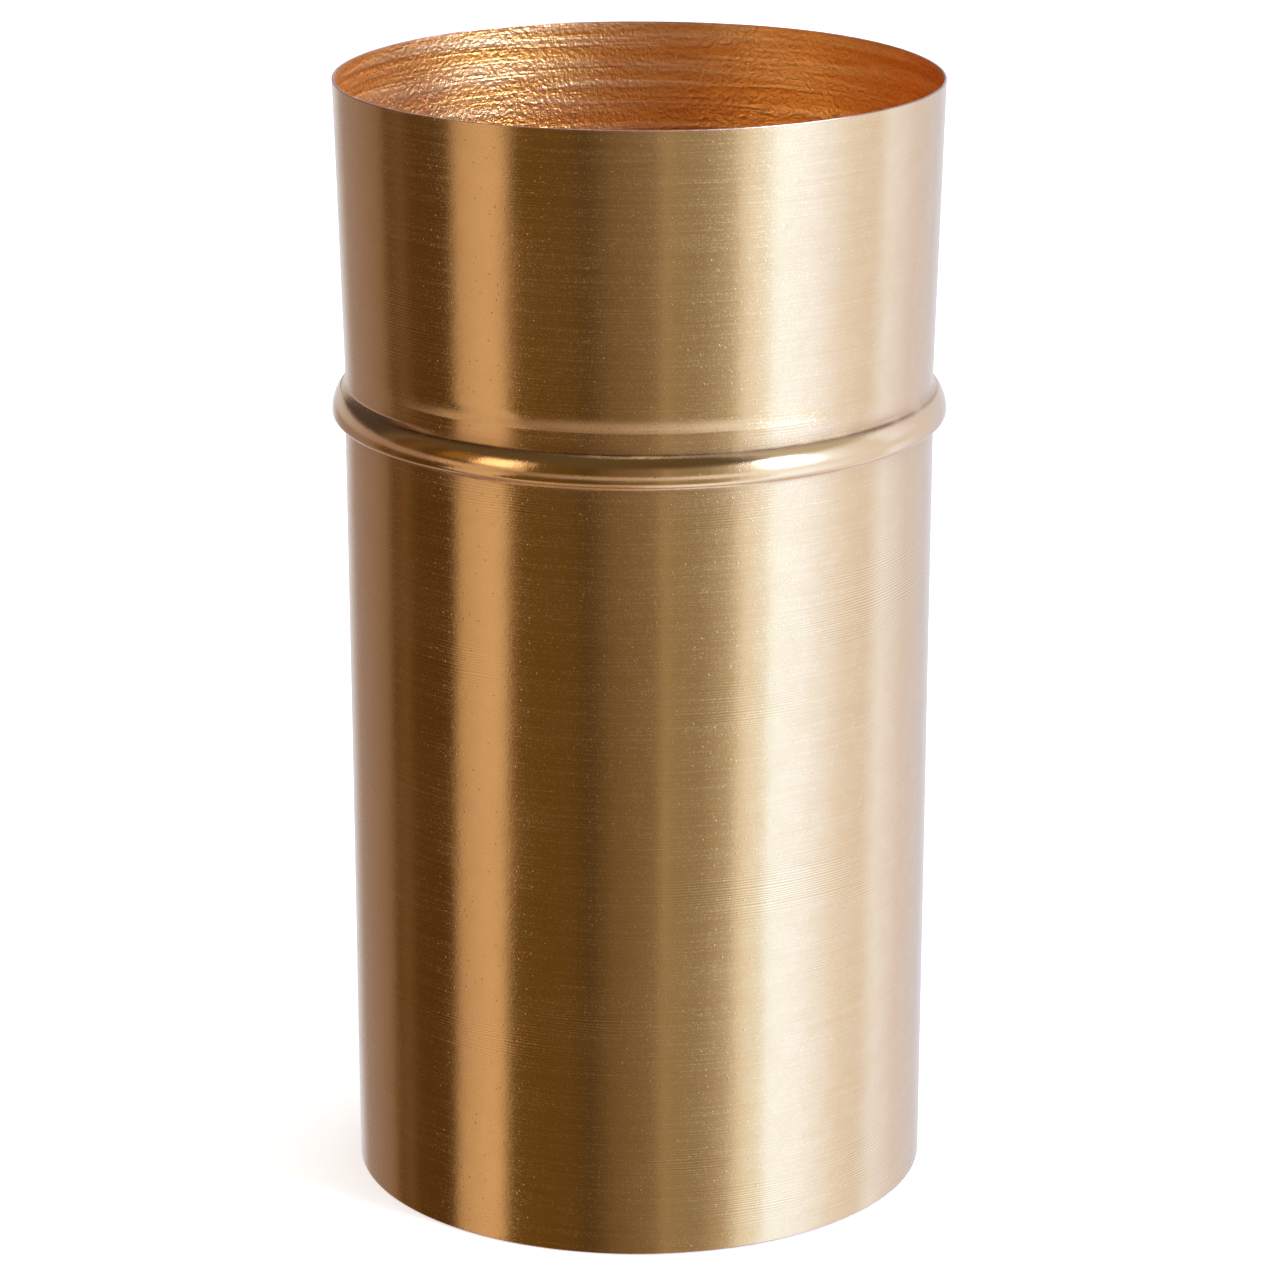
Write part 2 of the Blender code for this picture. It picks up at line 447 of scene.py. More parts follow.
def shape_bead_ring():
    """The ring's outline: two arcs that meet at the widest point, a flat underside and a bore."""
    bore = CUFF_RADIUS + SEAM
    widest = BEAD_BOTTOM + BEAD_LOWER_ROUND
    rise = BEAD_TOP - widest
    reach = BEAD_RADIUS - bore
    upper_round = (rise**2 + reach**2) / (2 * reach)
    upper = np.linspace(math.asin(rise / upper_round), 0.0, 25)
    lower = np.linspace(0.0, -math.pi / 2, 17)[1:]
    upper_radius = BEAD_RADIUS - upper_round * (1 - np.cos(upper))
    lower_radius = BEAD_RADIUS - BEAD_LOWER_ROUND * (1 - np.cos(lower))
    radius = np.concatenate([upper_radius, lower_radius, [bore, bore]])
    upper_height = widest + upper_round * np.sin(upper)
    lower_height = widest + BEAD_LOWER_ROUND * np.sin(lower)
    height = np.concatenate([upper_height, lower_height, [BEAD_BOTTOM, (BEAD_BOTTOM + BEAD_TOP) / 2]])
    points = turned_points(np.stack([radius, height], axis=-1), TURNS, wave=bead_wave)
    return finish_shape(grid_mesh("bead_ring_bar", points), sharp_degrees=60.0)


bead_ring = shape_bead_ring()

# %% [markdown]
# ## Solder
#
# Soft solder runs into a corner and sets with a hollow face, a little wider in some places
# than in others. One fillet fills the corner under the bead, and one seals the floor's
# flange inside the foot.

# %% Shape the two solder fillets
def shape_fillet(name, wall_radius, corner, width, height, seed, upwards):
    """A ring of solder in a corner between a wall and a ledge.

    Its face is a quarter of a hollow curve from the wall to the ledge. width and height grow
    and shrink round the ring by a sum of sines, as solder does where it ran.
    """
    share = np.linspace(0.0, 1.0, 9)
    out = (1 - np.sin(share * math.pi / 2)) * width
    along = (1 - np.cos(share * math.pi / 2)) * height
    side = 1.0 if wall_radius > 0 else -1.0
    radius = abs(wall_radius)
    sign = 1.0 if upwards else -1.0
    face = np.stack([radius + side * out, corner + sign * along], axis=-1)
    back = np.array([(radius - side * 0.0001, corner + sign * height), (radius - side * 0.0001, corner)])
    outline = np.concatenate([face, back])
    if (side > 0) == upwards:
        outline = outline[::-1]
    points = turned_points(outline, TURNS)
    angle = np.arctan2(points[..., 1], points[..., 0])
    swell = 1 + 0.25 * hand_waves(angle, points[..., 2] * 0, 1.0, seed, waves=14)
    points[..., 2] = corner + (points[..., 2] - corner) * swell
    return finish_shape(grid_mesh(name, points), sharp_degrees=60.0)


def body_radius(height):
    """Outer radius of the lower body's straight taper at a height."""
    share = (height - WALL_BOTTOM) / (SHOULDER - WALL_BOTTOM)
    return FOOT_RADIUS + (SHOULDER_RADIUS - FOOT_RADIUS) * share


bead_solder = shape_fillet(
    "bead_solder_fillet", body_radius(BEAD_BOTTOM), BEAD_BOTTOM, 0.0016, 0.0016, 5, False,
)
FLANGE_TOP = disc_high.z
base_solder = shape_fillet(
    "base_solder_fillet", -(body_radius(FLANGE_TOP) - SHEET), FLANGE_TOP, 0.0013, 0.0028, 8, True,
)

# %% [markdown]
# ## The floor and its pads
#
# The floor is a disc of thicker sheet, spun up at the edge into a low flange that is soldered
# inside the foot. Spinning leaves it very slightly domed. Four rubber pads under it keep the
# cut edge of the tube off the furniture.

# %% Shape the floor of the pot
FLOOR_DOME = 0.0006


def shape_base_disc():
    """The disc's outline: the floor from the middle out, the flange up and over, and back.

    The dome rises by FLOOR_DOME times 1 minus the square of the distance from the middle.
    """
    outer = body_radius(disc_low.z) - SHEET - 0.0001
    thick = FLOOR_THICKNESS
    bend = FLANGE_BEND
    turn = np.linspace(0.0, math.pi / 2, 7)
    floor = np.linspace(0.0, outer - bend, 40)
    dome = FLOOR_DOME * (1 - (floor / (outer - bend)) ** 2)
    top = np.stack([floor, disc_low.z + thick + dome], axis=-1)
    inner_bend = np.stack(
        [outer - bend + (bend - thick) * np.sin(turn), disc_low.z + bend - (bend - thick) * np.cos(turn)],
        axis=-1,
    )
    lip = 0.0003
    flange = np.array([
        (outer - thick, disc_high.z - lip),
        (outer - thick + lip, disc_high.z),
        (outer - lip, disc_high.z),
        (outer, disc_high.z - lip),
    ])
    outer_bend = np.stack(
        [outer - bend + bend * np.sin(turn), disc_low.z + bend - bend * np.cos(turn)], axis=-1
    )[::-1]
    under = np.stack([floor, disc_low.z + dome * 0.8], axis=-1)[::-1]
    outline = np.concatenate([top, inner_bend[1:], flange, outer_bend, under[1:]])
    points = turned_points(outline, 192)
    return finish_shape(grid_mesh("base_disc_floor", points, closed=False))


base_disc = shape_base_disc()

# %% Shape the four foot pads
def shape_foot_pad(node):
    """A low rubber button: a flat foot, a rounded edge and a side that leans in to the top."""
    low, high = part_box(node)
    radius = (high.x - low.x) / 2
    round_edge = 0.0008
    turn = np.linspace(0.0, math.pi / 2, 6)
    side = np.stack(
        [radius - round_edge + round_edge * np.cos(turn), low.z + round_edge - round_edge * np.sin(turn)],
        axis=-1,
    )
    outline = np.concatenate([
        [(0.0, high.z + 0.0002), (radius - 0.0006, high.z + 0.0002)],
        side,
        [(radius * 0.6, low.z), (0.0, low.z)],
    ])
    points = turned_points(outline, 48)
    points[..., 0] += (low.x + high.x) / 2
    points[..., 1] += (low.y + high.y) / 2
    return finish_shape(grid_mesh(node + "_button", points, closed=False), sharp_degrees=40.0)


pad_nodes = [name for name in sorted(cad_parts) if name.startswith("foot_pad_")]
pads = {node: shape_foot_pad(node) for node in pad_nodes}

# %% [markdown]
# ## Finishes
#
# The brass was cut on a lathe, rubbed with fine paper and left with a satin polish. What the
# eye sees on it is almost only what it reflects, so its finish is a matter of very small
# heights: lines a few thousandths of a millimetre deep, a soft grain, and here and there a
# pin prick. Each of these is a node group, built once, that puts out a height in millimetres
# or a mask. A material then adds the heights and sends them through one Bump node.
#
# Two short helpers keep the node code readable.

# %% Helpers for shader nodes
def put(tree, kind, inputs=None, **settings):
    """Adds a shader node. inputs maps a socket's name or number to a value or another socket."""
    new = tree.nodes.new("ShaderNode" + kind)
    for key, value in settings.items():
        setattr(new, key, value)
    for key, value in (inputs or {}).items():
        if isinstance(value, bpy.types.NodeSocket):
            tree.links.new(value, new.inputs[key])
        else:
            new.inputs[key].default_value = value
    return new


def math_node(tree, operation, first, second=0.0, third=0.0):
    """A Math node's result."""
    return put(tree, "Math", {0: first, 1: second, 2: third}, operation=operation).outputs[0]


def fade(tree, value, start, end, low=0.0, high=1.0):
    """Smoothly maps value from start..end to low..high, and holds it outside."""
    inputs = {"Value": value, "From Min": start, "From Max": end, "To Min": low, "To Max": high}
    return put(tree, "MapRange", inputs, interpolation_type="SMOOTHSTEP").outputs["Result"]


def mix_colours(tree, factor, first, second):
    """A colour between first and second."""
    inputs = {0: factor, 6: first, 7: second}
    return put(tree, "Mix", inputs, data_type="RGBA").outputs[2]


def stretched(tree, position, scale):
    """The position with each axis scaled, so that a noise pattern is stretched."""
    return put(tree, "Mapping", {"Vector": position, "Scale": scale}).outputs["Vector"]


def noise(tree, vector, scale, detail=2.0, roughness=0.5):
    """A Noise Texture's value, which varies round 0.5."""
    inputs = {"Vector": vector, "Scale": scale, "Detail": detail, "Roughness": roughness}
    return put(tree, "TexNoise", inputs).outputs["Fac"]


def new_group(name, inputs, outputs):
    """An empty shader node group with float inputs and outputs, and a Position vector input."""
    tree = bpy.data.node_groups.new(name, "ShaderNodeTree")
    tree.interface.new_socket("Position", in_out="INPUT", socket_type="NodeSocketVector")
    for title, value in inputs:
        socket = tree.interface.new_socket(title, in_out="INPUT", socket_type="NodeSocketFloat")
        socket.default_value = value
    for title in outputs:
        tree.interface.new_socket(title, in_out="OUTPUT", socket_type="NodeSocketFloat")
    start = tree.nodes.new("NodeGroupInput")
    end = tree.nodes.new("NodeGroupOutput")
    return tree, start.outputs, end.inputs


def use_group(tree, group, position, **inputs):
    """Places a group in a material with its own values, and returns its outputs."""
    new = tree.nodes.new("ShaderNodeGroup")
    new.node_tree = group
    tree.links.new(position, new.inputs["Position"])
    for title, value in inputs.items():
        new.inputs[title.replace("_", " ")].default_value = value
    return new.outputs


print("shader helpers ready")

# %% [markdown]
# ### Turning lines
#
# A lathe tool and the paper after it leave lines round the wall. Most are fine and even. In
# some places the tool sang, and left a patch of regular ripples 0.8 mm apart. Both come from
# noise that is squeezed along Z: it changes fast with height and slowly round the wall.

# %% Group: turning lines and chatter
def build_turning_lines():
    """Lines round the wall, and patches of ripples whose pitch drifts."""
    tree, given, result = new_group(
        "turning_lines", [("Pitch mm", 0.8), ("Patch Start", 0.54)], ["Lines", "Chatter", "Patch"]
    )
    position = given["Position"]
    fine = noise(tree, stretched(tree, position, (22.0, 22.0, 2300.0)), 1.0, 3.0, 0.6)
    tree.links.new(math_node(tree, "SUBTRACT", fine, 0.5), result["Lines"])
    cloud = noise(tree, stretched(tree, position, (11.0, 11.0, 26.0)), 1.0, 2.0)
    patch_end = math_node(tree, "ADD", given["Patch Start"], 0.16)
    patch = fade(tree, cloud, given["Patch Start"], patch_end)
    tree.links.new(patch, result["Patch"])
    height = put(tree, "SeparateXYZ", {0: position}).outputs["Z"]
    metres = math_node(tree, "MULTIPLY", given["Pitch mm"], 0.001)
    turns = math_node(tree, "DIVIDE", height, metres)
    wander = noise(tree, stretched(tree, position, (14.0, 14.0, 160.0)), 1.0)
    drift = math_node(tree, "MULTIPLY", wander, 3.0)
    angle = math_node(tree, "MULTIPLY", math_node(tree, "ADD", turns, drift), 2 * math.pi)
    ripple = math_node(tree, "SINE", angle)
    tree.links.new(math_node(tree, "MULTIPLY", ripple, patch), result["Chatter"])
    return tree


turning_lines = build_turning_lines()
print("group", turning_lines.name)

# %% [markdown]
# ### Peel and pricks
#
# Rolled sheet that has been annealed has a soft grain like orange peel. Outside, polishing
# has nearly removed it. Inside, where the sheet was only pickled clean, it is coarse. Pin
# pricks are the pits that pickling leaves: a Voronoi pattern puts one in some of its cells.

# %% Groups: peel and pin pricks
def build_peel():
    """A soft, even grain of a given size."""
    tree, given, result = new_group("peel", [("Grain mm", 1.0)], ["Height"])
    scale = math_node(tree, "DIVIDE", 1000.0, given["Grain mm"])
    soft = noise(tree, given["Position"], scale)
    tree.links.new(math_node(tree, "SUBTRACT", soft, 0.5), result["Height"])
    return tree


def build_pin_pricks():
    """A round dot in some of the cells of a Voronoi pattern."""
    tree, given, result = new_group(
        "pin_pricks", [("Spacing mm", 3.0), ("Width mm", 0.4), ("Share", 0.4)], ["Mask"]
    )
    scale = math_node(tree, "DIVIDE", 1000.0, given["Spacing mm"])
    cells = put(tree, "TexVoronoi", {"Vector": given["Position"], "Scale": scale, "Randomness": 1.0})
    reach = math_node(tree, "DIVIDE", given["Width mm"], given["Spacing mm"])
    dot = fade(tree, cells.outputs["Distance"], reach, 0.0)
    chance = put(tree, "SeparateColor", {0: cells.outputs["Color"]}).outputs["Red"]
    chosen = math_node(tree, "LESS_THAN", chance, given["Share"])
    tree.links.new(math_node(tree, "MULTIPLY", dot, chosen), result["Mask"])
    return tree


peel = build_peel()
pin_pricks = build_pin_pricks()
print("groups", peel.name, pin_pricks.name)

# %% [markdown]
# ### Smudges, and crease dirt and shade
#
# Polish is never even: hands and cloths leave broad cloudy areas, duller here and brighter
# there. In the creases beside the bead the polishing wheel can't reach, so a brown line of
# old compound and flux stays behind. Taken wider, the same mask paints shade and a pinkish reflection
# beside it.

# %% Groups: smudges, and crease dirt and shade
def build_smudges():
    """Broad cloudy areas."""
    tree, given, result = new_group("smudges", [("Size mm", 60.0)], ["Mask"])
    scale = math_node(tree, "DIVIDE", 1000.0, given["Size mm"])
    inputs = {"Vector": given["Position"], "Scale": scale, "Detail": 4.0, "Distortion": 0.6}
    cloud = put(tree, "TexNoise", inputs).outputs["Fac"]
    tree.links.new(fade(tree, cloud, 0.35, 0.65), result["Mask"])
    return tree


def build_crease_dirt():
    """A mask beside a crease at one height, broken up, and filed off at the two sides: dirt, and also
    painted shade and a painted pinkish reflection.
    """
    tree, given, result = new_group(
        "crease_dirt", [("Crease Z", 0.27), ("Reach mm", 1.0), ("Filed Off", 0.0)], ["Mask"]
    )
    position = given["Position"]
    place = put(tree, "SeparateXYZ", {0: position}).outputs
    height = place["Z"]
    away = math_node(tree, "ABSOLUTE", math_node(tree, "SUBTRACT", height, given["Crease Z"]))
    steps = math_node(tree, "DIVIDE", math_node(tree, "MULTIPLY", away, 1000.0), given["Reach mm"])
    near = fade(tree, steps, 1.0, 0.0)
    broken = fade(tree, noise(tree, position, 90.0, 3.0), 0.30, 0.62, 0.35, 1.0)
    near = math_node(tree, "MULTIPLY", near, broken)
    to_left = fade(tree, place["X"], -0.078, -0.090)
    to_right = fade(tree, place["X"], 0.075, 0.100, 0.0, 0.6)
    sides = math_node(tree, "MAXIMUM", to_left, to_right)
    filed = math_node(tree, "MULTIPLY", sides, given["Filed Off"])
    left_over = math_node(tree, "SUBTRACT", 1.0, filed)
    tree.links.new(math_node(tree, "MULTIPLY", near, left_over), result["Mask"])
    return tree


smudges = build_smudges()
crease_dirt = build_crease_dirt()
print("groups", smudges.name, crease_dirt.name)

# %% [markdown]
# ### The materials
#
# Each material starts with the same few lines: a Principled shader, the object's own
# coordinates, and a Bump node that takes its height in millimetres. Values that are the same
# all over, such as Metallic or Anisotropic, are set on the shader's own socket.

# %% Start of every material
BRASS_DARK = (0.80, 0.56, 0.26, 1.0)
BRASS_LIGHT = (1.00, 0.77, 0.43, 1.0)
BRASS_DULL = (0.80, 0.55, 0.33, 1.0)
BEAD_COLOUR = (0.90, 0.66, 0.35, 1.0)
INSIDE_WARM = (0.97, 0.61, 0.26, 1.0)
INSIDE_DEEP = (0.87, 0.40, 0.09, 1.0)
EDGE_DARK = (0.40, 0.22, 0.17, 1.0)
EDGE_LIGHT = (0.74, 0.54, 0.44, 1.0)
SOLDER_LIGHT = (0.90, 0.65, 0.35, 1.0)
SOLDER_DULL = (0.80, 0.58, 0.36, 1.0)
RUBBER_DARK = (0.020, 0.020, 0.021, 1.0)
RUBBER_LIGHT = (0.036, 0.035, 0.034, 1.0)
FLUX_BROWN = (0.20, 0.10, 0.05, 1.0)
RESIDUE = (0.46, 0.27, 0.09, 1.0)


def start_material(name, metallic):
    """A material with its tree, shader and object coordinates."""
    material = bpy.data.materials.new(name)
    material.use_nodes = True
    tree = material.node_tree
    shader = tree.nodes["Principled BSDF"]
    shader.inputs["Metallic"].default_value = metallic
    position = put(tree, "TexCoord").outputs["Object"]
    return material, tree, shader, position


def add_heights(tree, heights):
    """The sum of (socket, millimetres) pairs."""
    total = 0.0
    for socket, size in heights:
        total = math_node(tree, "MULTIPLY_ADD", socket, size, total)
    return total


def bump(tree, shader, heights):
    """Sends the summed heights, in millimetres, to the shader's Normal."""
    inputs = {"Strength": 1.0, "Distance": 0.001, "Height": add_heights(tree, heights)}
    tree.links.new(put(tree, "Bump", inputs).outputs["Normal"], shader.inputs["Normal"])


def brush_round(tree, shader, strength):
    """Stretches highlights across the turning lines, so they run up and down the wall."""
    shader.inputs["Anisotropic"].default_value = strength
    shader.inputs["Anisotropic Rotation"].default_value = 0.25
    tangent = put(tree, "Tangent", direction_type="RADIAL", axis="Z").outputs["Tangent"]
    tree.links.new(tangent, shader.inputs["Tangent"])


print("brass from", BRASS_DARK[:3], "to", BRASS_LIGHT[:3])

# %% Satin brass, for the outside of both tubes
def make_turned_brass(name, crease_z, filed_off, shade_depth):
    """Satin brass with turning lines, and beside the crease at crease_z a dirt line, painted shade and a
    painted pinkish reflection.
    """
    material, tree, shader, position = start_material(name, 1.0)
    lines = use_group(tree, turning_lines, position, Pitch_mm=0.9, Patch_Start=0.53)
    grain = use_group(tree, peel, position, Grain_mm=0.9)["Height"]
    dust = use_group(tree, peel, position, Grain_mm=0.50)["Height"]
    soft = use_group(tree, peel, position, Grain_mm=7.0)["Height"]
    pricks = use_group(tree, pin_pricks, position, Spacing_mm=2.4, Width_mm=0.40, Share=0.6)["Mask"]
    cloud = use_group(tree, smudges, position, Size_mm=55.0)["Mask"]
    blotch = use_group(tree, smudges, position, Size_mm=9.0)["Mask"]
    crease = {"Crease_Z": crease_z, "Filed_Off": filed_off}
    dirt = use_group(tree, crease_dirt, position, Reach_mm=0.9, **crease)["Mask"]
    halo = use_group(tree, crease_dirt, position, Reach_mm=11.0, Crease_Z=crease_z)["Mask"]
    # The pin pricks in this sum lighten the colour where they lie: painted glints.
    tone = add_heights(tree, [
        (lines["Lines"], 0.6), (lines["Chatter"], 0.65), (dust, 0.5), (blotch, 0.12), (pricks, 0.5),
    ])
    colour = mix_colours(tree, math_node(tree, "ADD", tone, 0.40), BRASS_DARK, BRASS_LIGHT)
    # Painted reflection: near the crease the colour is drawn towards a duller pink, the tint of the light
    # band reflected there.
    colour = mix_colours(tree, math_node(tree, "MULTIPLY", halo, 0.4), colour, BRASS_DULL)
    # Painted shade: within 4.5 mm of the crease the colour darkens towards brown, more on the collar than
    # on the body.
    shade = use_group(tree, crease_dirt, position, Reach_mm=4.5, **crease)["Mask"]
    colour = mix_colours(tree, math_node(tree, "MULTIPLY", shade, shade_depth), colour, RESIDUE)
    colour = mix_colours(tree, math_node(tree, "MULTIPLY", dirt, 0.85), colour, FLUX_BROWN)
    tree.links.new(colour, shader.inputs["Base Color"])
    # A scuffed spot scatters light, so it shows pale where the wall is dark.
    scuffs = fade(tree, add_heights(tree, [(dust, 1.0), (lines["Lines"], 0.7)]), 0.02, 0.22)
    rough = math_node(tree, "MULTIPLY_ADD", cloud, 0.04, 0.135)
    rough = math_node(tree, "MULTIPLY_ADD", scuffs, 0.15, rough)
    rough = math_node(tree, "MULTIPLY_ADD", lines["Chatter"], 0.05, rough)
    rough = math_node(tree, "MULTIPLY_ADD", halo, 0.06, rough)
    rough = math_node(tree, "MULTIPLY_ADD", dirt, 0.25, rough)
    tree.links.new(rough, shader.inputs["Roughness"])
    brush_round(tree, shader, 0.6)
    bump(tree, shader, [
        (lines["Lines"], 0.004), (lines["Chatter"], 0.004), (grain, 0.012), (soft, 0.03), (pricks, 0.045),
    ])
    return material


body_brass = make_turned_brass("body_satin_brass", BEAD_BOTTOM, 0.0, 0.1)
collar_brass = make_turned_brass("collar_satin_brass", BEAD_TOP, 1.0, 0.45)

# %% Bead brass
def make_bead_brass():
    """Smoother brass, with dirt in the creases above and below the ring."""
    material, tree, shader, position = start_material("bead_brass", 1.0)
    lines = use_group(tree, turning_lines, position, Pitch_mm=0.5, Patch_Start=0.50)
    grain = use_group(tree, peel, position, Grain_mm=1.1)["Height"]
    soft = use_group(tree, peel, position, Grain_mm=6.0)["Height"]
    pricks = use_group(tree, pin_pricks, position, Spacing_mm=2.6, Width_mm=0.4, Share=0.5)["Mask"]
    low = use_group(tree, crease_dirt, position, Crease_Z=BEAD_BOTTOM, Reach_mm=0.8)["Mask"]
    high = use_group(tree, crease_dirt, position, Crease_Z=BEAD_TOP, Reach_mm=1.0, Filed_Off=1.0)["Mask"]
    dirt = math_node(tree, "MAXIMUM", low, high)
    colour = mix_colours(tree, math_node(tree, "MULTIPLY", dirt, 0.8), BEAD_COLOUR, FLUX_BROWN)
    tree.links.new(colour, shader.inputs["Base Color"])
    rough = math_node(tree, "MULTIPLY_ADD", lines["Lines"], 0.08, 0.135)
    rough = math_node(tree, "MULTIPLY_ADD", dirt, 0.3, rough)
    tree.links.new(rough, shader.inputs["Roughness"])
    brush_round(tree, shader, 0.35)
    bump(tree, shader, [(lines["Lines"], 0.004), (grain, 0.018), (soft, 0.05), (pricks, 0.03)])
    return material


bead_brass = make_bead_brass()

# %% Pickled brass, for the inside
def make_inside_brass():
    """Rough, coppery brass with sweeping streaks, as pickling leaves it."""
    material, tree, shader, position = start_material("inside_pickled_brass", 0.94)
    coarse = use_group(tree, peel, position, Grain_mm=1.5)["Height"]
    fine = use_group(tree, peel, position, Grain_mm=0.6)["Height"]
    cloud = use_group(tree, smudges, position, Size_mm=35.0)["Mask"]
    swept = stretched(tree, position, (12.0, 12.0, 240.0))
    inputs = {"Vector": swept, "Scale": 1.0, "Detail": 3.0, "Distortion": 0.9}
    streak = put(tree, "TexNoise", inputs).outputs["Fac"]
    colour = mix_colours(tree, fade(tree, streak, 0.38, 0.62), INSIDE_DEEP, INSIDE_WARM)
    tree.links.new(colour, shader.inputs["Base Color"])
    rough = math_node(tree, "MULTIPLY_ADD", cloud, 0.06, 0.32)
    tree.links.new(rough, shader.inputs["Roughness"])
    bump(tree, shader, [(coarse, 0.36), (fine, 0.09), (streak, 0.45)])
    return material


inside_brass = make_inside_brass()

# %% Cut edges, solder and rubber
def make_cut_edge():
    """Cut sheet at the rim and foot: pinkish, uneven and lightly burred."""
    material, tree, shader, position = start_material("cut_edge_brass", 1.0)
    burr = use_group(tree, peel, position, Grain_mm=1.6)["Height"]
    nick = use_group(tree, pin_pricks, position, Spacing_mm=6.0, Width_mm=0.8, Share=0.5)["Mask"]
    tone = fade(tree, noise(tree, position, 38.0, 4.0), 0.38, 0.62)
    colour = mix_colours(tree, tone, EDGE_DARK, EDGE_LIGHT)
    tree.links.new(colour, shader.inputs["Base Color"])
    tree.links.new(math_node(tree, "MULTIPLY_ADD", tone, 0.15, 0.30), shader.inputs["Roughness"])
    bump(tree, shader, [(burr, 0.10), (nick, -0.06)])
    return material


def make_solder():
    """Lumpy solder, brass-coloured, with dirt where it meets the ring."""
    material, tree, shader, position = start_material("soft_solder", 1.0)
    lumps = use_group(tree, peel, position, Grain_mm=2.5)["Height"]
    cloud = use_group(tree, smudges, position, Size_mm=14.0)["Mask"]
    dirt = use_group(tree, crease_dirt, position, Crease_Z=BEAD_BOTTOM, Reach_mm=0.55)["Mask"]
    colour = mix_colours(tree, cloud, SOLDER_LIGHT, SOLDER_DULL)
    colour = mix_colours(tree, dirt, colour, FLUX_BROWN)
    tree.links.new(colour, shader.inputs["Base Color"])
    tree.links.new(math_node(tree, "MULTIPLY_ADD", cloud, 0.12, 0.24), shader.inputs["Roughness"])
    bump(tree, shader, [(lumps, 0.10)])
    return material


def make_rubber():
    """Matt black rubber."""
    material, tree, shader, position = start_material("pad_rubber", 0.0)
    grain = use_group(tree, peel, position, Grain_mm=0.5)["Height"]
    cloud = use_group(tree, smudges, position, Size_mm=6.0)["Mask"]
    colour = mix_colours(tree, cloud, RUBBER_DARK, RUBBER_LIGHT)
    tree.links.new(colour, shader.inputs["Base Color"])
    tree.links.new(math_node(tree, "MULTIPLY_ADD", cloud, 0.12, 0.60), shader.inputs["Roughness"])
    bump(tree, shader, [(grain, 0.04)])
    return material


cut_edge = make_cut_edge()
solder = make_solder()
rubber = make_rubber()

# %% Give every piece its finish and its place in the CAD model
stand_for(lower_body, "lower_body", [body_brass, inside_brass, cut_edge])
stand_for(upper_collar, "upper_collar", [collar_brass, inside_brass, cut_edge])
stand_for(bead_ring, "bead_ring", [bead_brass])
stand_for(bead_solder, "bead_solder", [solder])
stand_for(base_solder, "base_solder", [solder])
stand_for(base_disc, "base_disc", [inside_brass])
for node, pad in pads.items():
    stand_for(pad, node, [rubber])

# %% [markdown]
# ## The studio
#
# A polished tube shows the room round it as upright bands, so the light here is mostly a
# matter of what stands where. The room is a ring of soft colours given by compass direction,
# seen from the pot: a dim room behind the camera, a tall warm card to the left, a big cool
# window to the right, and a pale backdrop behind the pot. It is painted on the world, so it
# stays the same from every camera angle.
#
# Two rings are mixed. WALLS is what stands round the pot. PALE is the light strip along the
# horizon and the light table top below, which the curves above and below the bead pick up.

# %% The two rings of colour
# Degrees from the camera's direction, positive to the right, with the light that comes from there.
WALLS = [
    (-180, (0.86, 0.90, 1.02)),
    (-164, (0.74, 0.76, 0.88)),
    (-149, (0.36, 0.28, 0.29)),
    (-126, (0.29, 0.20, 0.18)),
    (-117, (0.25, 0.16, 0.11)),
    (-111, (0.12, 0.055, 0.018)),
    (-103, (0.16, 0.085, 0.04)),
    (-97, (0.095, 0.045, 0.01)),
    (-77, (0.08, 0.04, 0.01)),
    (-72, (0.56, 0.37, 0.25)),
    (-59, (0.70, 0.48, 0.34)),
    (-53.2, (0.68, 0.46, 0.31)),
    (-48.2, (0.13, 0.07, 0.015)),
    (-28, (0.125, 0.065, 0.015)),
    (-19, (0.085, 0.052, 0.02)),
    (-10, (0.17, 0.105, 0.05)),
    (6, (0.225, 0.155, 0.10)),
    (10, (0.38, 0.28, 0.18)),
    (14, (0.30, 0.23, 0.15)),
    (24, (0.30, 0.24, 0.175)),
    (35, (0.49, 0.42, 0.36)),
    (41, (0.86, 0.87, 1.00)),
    (49, (0.92, 1.01, 1.32)),
    (53, (1.09, 1.38, 2.20)),
    (66, (1.07, 1.30, 2.12)),
    (88, (0.86, 0.90, 1.20)),
    (100, (0.81, 0.82, 1.06)),
    (109, (0.94, 1.08, 1.64)),
    (128, (0.77, 0.78, 1.08)),
    (152, (0.69, 0.73, 0.96)),
    (180, (0.86, 0.90, 1.02)),
]
PALE = [
    (-180, (0.84, 0.87, 0.98)),
    (-140, (0.50, 0.44, 0.50)),
    (-112, (0.36, 0.25, 0.25)),
    (-84, (0.34, 0.22, 0.18)),
    (-74, (0.58, 0.40, 0.29)),
    (-56, (0.62, 0.43, 0.31)),
    (-44, (0.30, 0.20, 0.15)),
    (-16, (0.46, 0.34, 0.30)),
    (0, (0.56, 0.45, 0.43)),
    (23, (0.84, 0.78, 0.90)),
    (50, (1.00, 1.12, 1.55)),
    (88, (0.86, 0.90, 1.22)),
    (152, (0.70, 0.74, 0.96)),
    (180, (0.84, 0.87, 0.98)),
]
BRIGHTEST = 2.2
LEAN = 0.45
LOW_START = -40.0
LOW_END = -54.0
WINDOW_GAIN = 26.0
CARD_SHARE = 0.09
CORNER_DIM = 0.75
CEILING = (0.11, 0.075, 0.04, 1.0)
SKY = (0.80, 0.78, 0.85, 1.0)
LAMP = (2.4, 2.2, 2.0, 1.0)


